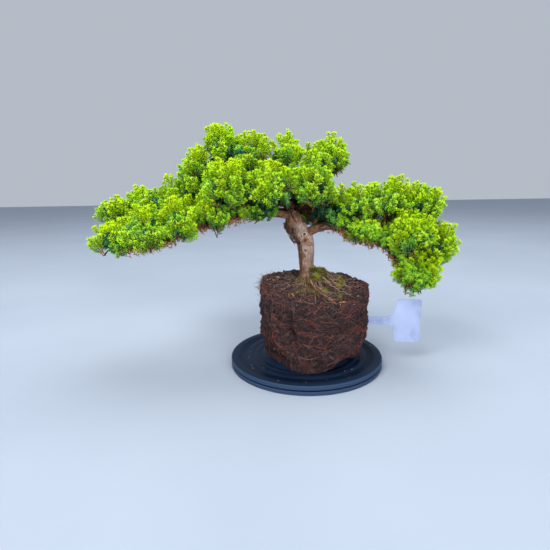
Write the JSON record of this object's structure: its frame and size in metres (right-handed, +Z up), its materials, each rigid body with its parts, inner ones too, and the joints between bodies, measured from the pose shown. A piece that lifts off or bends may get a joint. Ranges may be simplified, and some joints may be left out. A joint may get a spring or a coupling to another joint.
{
  "type": "bonsai tree",
  "caption": "Spreading juniper bonsai lifted out of its pot, standing on its matted root ball on a black two-disc turntable that swivels, with a blank plant label.",
  "frame": {"origin": "on the swivel's vertical axis, at the underside of the turntable's base", "axes": "+Z up along the swivel's axis; +X along the tree's spread, towards its shorter right side; the tree's front faces -Y"},
  "size_m": [0.4619, 0.2, 0.3098],
  "materials": {
    "juniper_foliage": "matte",
    "juniper_bark": "matte",
    "matted_roots": "matte",
    "moss": "matte",
    "label_plastic": "satin",
    "black_plastic": "satin",
    "cage_plastic": "satin",
    "bearing_steel": "polished"
  },
  "bodies": {
    "base": {"turntable_base": "black_plastic", "pivot_pin": "bearing_steel"},
    "bearing": {"ball_cage": "cage_plastic", "bearing_ball_1": "bearing_steel", "bearing_ball_2": "bearing_steel", "bearing_ball_3": "bearing_steel", "bearing_ball_4": "bearing_steel", "bearing_ball_5": "bearing_steel", "bearing_ball_6": "bearing_steel", "bearing_ball_7": "bearing_steel", "bearing_ball_8": "bearing_steel"},
    "turning": {"turntable_top": "black_plastic", "root_ball": "matted_roots", "moss": "moss", "plant_label": "label_plastic", "trunk": "juniper_bark", "crown_branch": "juniper_bark", "crown_rear_branch": "juniper_bark", "crown_right_branch": "juniper_bark", "left_high_branch": "juniper_bark", "left_low_branch": "juniper_bark", "right_branch": "juniper_bark", "right_rear_branch": "juniper_bark", "shoots_crown_front_left": "juniper_foliage", "shoots_crown_front_middle": "juniper_foliage", "shoots_crown_front_right": "juniper_foliage", "shoots_crown_left": "juniper_foliage", "shoots_crown_middle": "juniper_foliage", "shoots_crown_peak": "juniper_foliage", "shoots_crown_rear_left": "juniper_foliage", "shoots_crown_rear_middle": "juniper_foliage", "shoots_crown_rear_right": "juniper_foliage", "shoots_crown_right": "juniper_foliage", "shoots_crown_right_tip": "juniper_foliage", "shoots_crown_shade": "juniper_foliage", "shoots_crown_top": "juniper_foliage", "shoots_crown_under": "juniper_foliage", "shoots_left_high_middle": "juniper_foliage", "shoots_left_high_outer": "juniper_foliage", "shoots_left_high_tip": "juniper_foliage", "shoots_left_low_inner": "juniper_foliage", "shoots_left_low_middle": "juniper_foliage", "shoots_left_low_outer": "juniper_foliage", "shoots_left_low_tip": "juniper_foliage", "shoots_right_end": "juniper_foliage", "shoots_right_front": "juniper_foliage", "shoots_right_inner": "juniper_foliage", "shoots_right_low": "juniper_foliage", "shoots_right_outer": "juniper_foliage", "shoots_right_rear_inner": "juniper_foliage", "shoots_right_rear_outer": "juniper_foliage", "shoots_right_top": "juniper_foliage", "shoots_right_under": "juniper_foliage"}
  },
  "joints": [
    {"name": "table_spin", "type": "hinge", "parent": "base", "child": "turning", "pos_m": [0, 0, 0], "axis": [0, 0, 1], "continuous": true},
    {"name": "bearing_spin", "type": "hinge", "parent": "base", "child": "bearing", "pos_m": [0, 0, 0], "axis": [0, 0, 1], "continuous": true}
  ],
  "couplings": [
    {"joint": "bearing_spin", "follows": "table_spin", "ratio": 0.5}
  ]
}
